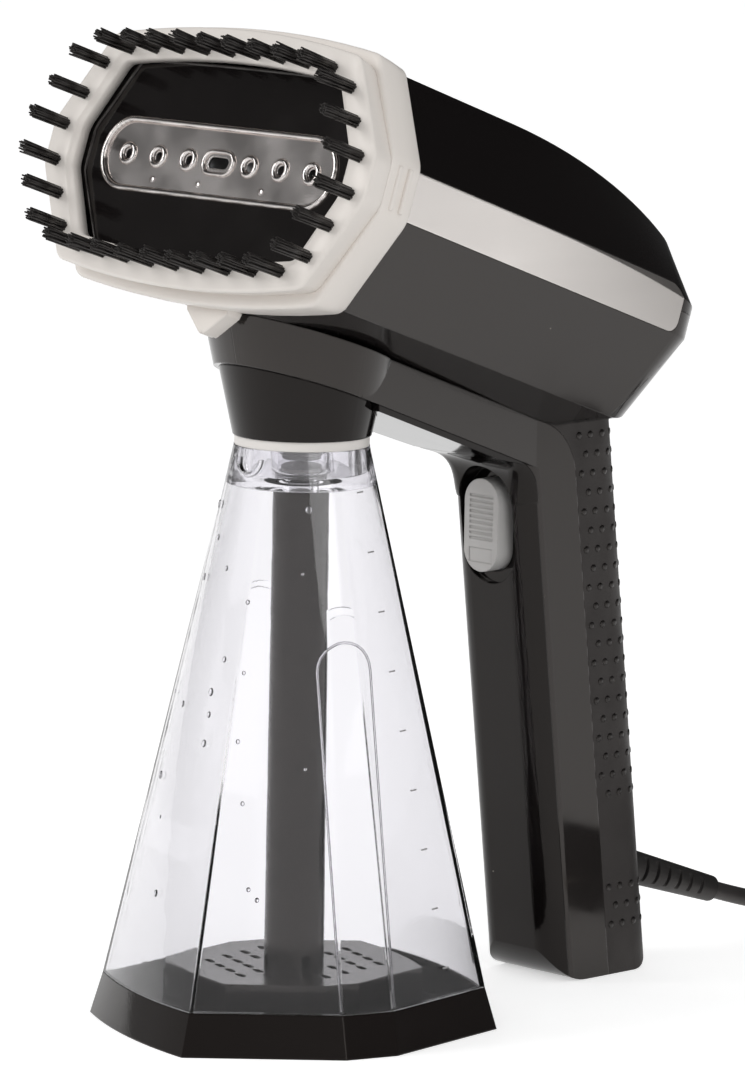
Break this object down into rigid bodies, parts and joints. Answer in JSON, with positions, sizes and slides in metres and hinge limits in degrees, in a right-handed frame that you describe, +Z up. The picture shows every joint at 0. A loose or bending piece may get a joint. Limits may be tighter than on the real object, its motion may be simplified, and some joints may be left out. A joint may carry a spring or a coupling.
{
  "type": "garment steamer",
  "caption": "Handheld garment steamer with an octagonal head, clip-on bristle frame, clear twist-off tank under the neck and a leaning handle with a trigger and cord.",
  "frame": {"origin": "centre of the water tank's flat underside, on the surface it stands on", "axes": "+Z up, the steam head faces -Y and looks up by 19 degrees, the handle and cord are at +Y, X is across"},
  "size_m": [0.1848, 0.3501, 0.3013],
  "materials": {
    "gloss_black": "high gloss black",
    "band_silver": "fine brushed silver",
    "shell_grey": "gloss dark grey",
    "grip_matte": "matte dark grey with small dots",
    "face_black": "gloss black",
    "insert_chrome": "satin mirror",
    "bezel_black": "satin black",
    "brush_white": "satin warm white",
    "bristle_black": "fine nylon bristles",
    "trigger_grey": "satin light grey",
    "ring_white": "satin white",
    "tank_clear": "clear with a faint violet tint",
    "skirt_dark": "gloss dark grey",
    "tube_dark": "satin dark grey",
    "soft_rubber": "matte black",
    "silicone": "translucent pale silicone",
    "cast_alloy": "as cast",
    "element_steel": "dull sheath",
    "screw_steel": "zinc plated",
    "pump_case": "dull grey",
    "inner_plastic": "natural moulded",
    "wire_sleeve": "matte insulation",
    "cord_grey": "matte dark grey",
    "pin_plate": "nickel plated"
  },
  "bodies": {
    "housing": {"upper_cover": "gloss_black", "right_band": "band_silver", "left_band": "band_silver", "lower_shell": "shell_grey", "faceplate": "face_black", "steam_insert": "insert_chrome", "head_bezel": "bezel_black", "neck_collar": "shell_grey", "inlet_spigot": "inner_plastic", "inlet_seal": "silicone", "suction_hose": "silicone", "right_panel": "shell_grey", "left_panel": "shell_grey", "handle_cover": "shell_grey", "rear_grip": "grip_matte", "steam_chamber": "cast_alloy", "chamber_gasket": "silicone", "chamber_cover": "cast_alloy", "heating_element": "element_steel", "thermostat": "element_steel", "thermal_fuse": "inner_plastic", "chamber_screws": "screw_steel", "pump": "pump_case", "pump_mounts": "soft_rubber", "pressure_hose": "silicone", "arm_screws": "screw_steel", "switch_body": "inner_plastic", "lever_pin": "screw_steel", "switch_bracket": "inner_plastic", "terminal_block": "inner_plastic", "switch_wires": "wire_sleeve", "head_wires": "wire_sleeve", "cord_boot": "soft_rubber", "cord_lead": "cord_grey", "cord_anchor": "inner_plastic", "cord_clamp": "inner_plastic", "clamp_screws": "screw_steel", "power_cord": "cord_grey", "cord_coil": "cord_grey", "cord_end": "cord_grey", "cord_tie": "soft_rubber", "plug_body": "soft_rubber", "plug_pins": "pin_plate"},
    "trigger": {"trigger": "trigger_grey"},
    "switch_lever": {"switch_lever": "element_steel"},
    "lock_ring": {"lock_ring": "ring_white"},
    "tank": {"tank_shell": "tank_clear", "tank_skirt": "skirt_dark", "tank_plate": "tube_dark", "suction_tube": "tube_dark", "neck_insert": "tank_clear", "tank_valve": "silicone"},
    "brush": {"brush_frame": "brush_white", "brush_rim": "brush_white", "bristle_tufts": "bristle_black"}
  },
  "joints": [
    {"name": "trigger_press", "type": "slide", "parent": "housing", "child": "trigger", "axis": [0, 1, 0], "range_m": [0, 0.0035], "stiffness_N_per_m": 700, "springref_m": -0.002},
    {"name": "lever_turn", "type": "hinge", "parent": "housing", "child": "switch_lever", "pos_m": [0, 0.0946, 0.132], "axis": [-1, 0, 0], "range_deg": [0, 14]},
    {"name": "tank_twist", "type": "hinge", "parent": "housing", "child": "lock_ring", "pos_m": [0, 0, 0.18], "axis": [0, 0, 1], "range_deg": [0, 18.3]},
    {"name": "tank_pull", "type": "slide", "parent": "lock_ring", "child": "tank", "axis": [0, 0, -1], "range_m": [0, 0.06]},
    {"name": "brush_pull", "type": "slide", "parent": "housing", "child": "brush", "axis": [0, -0.9455, 0.3256], "range_m": [0, 0.045]}
  ],
  "couplings": [
    {"joint": "lever_turn", "follows": "trigger_press", "rad_per_m": 54}
  ]
}
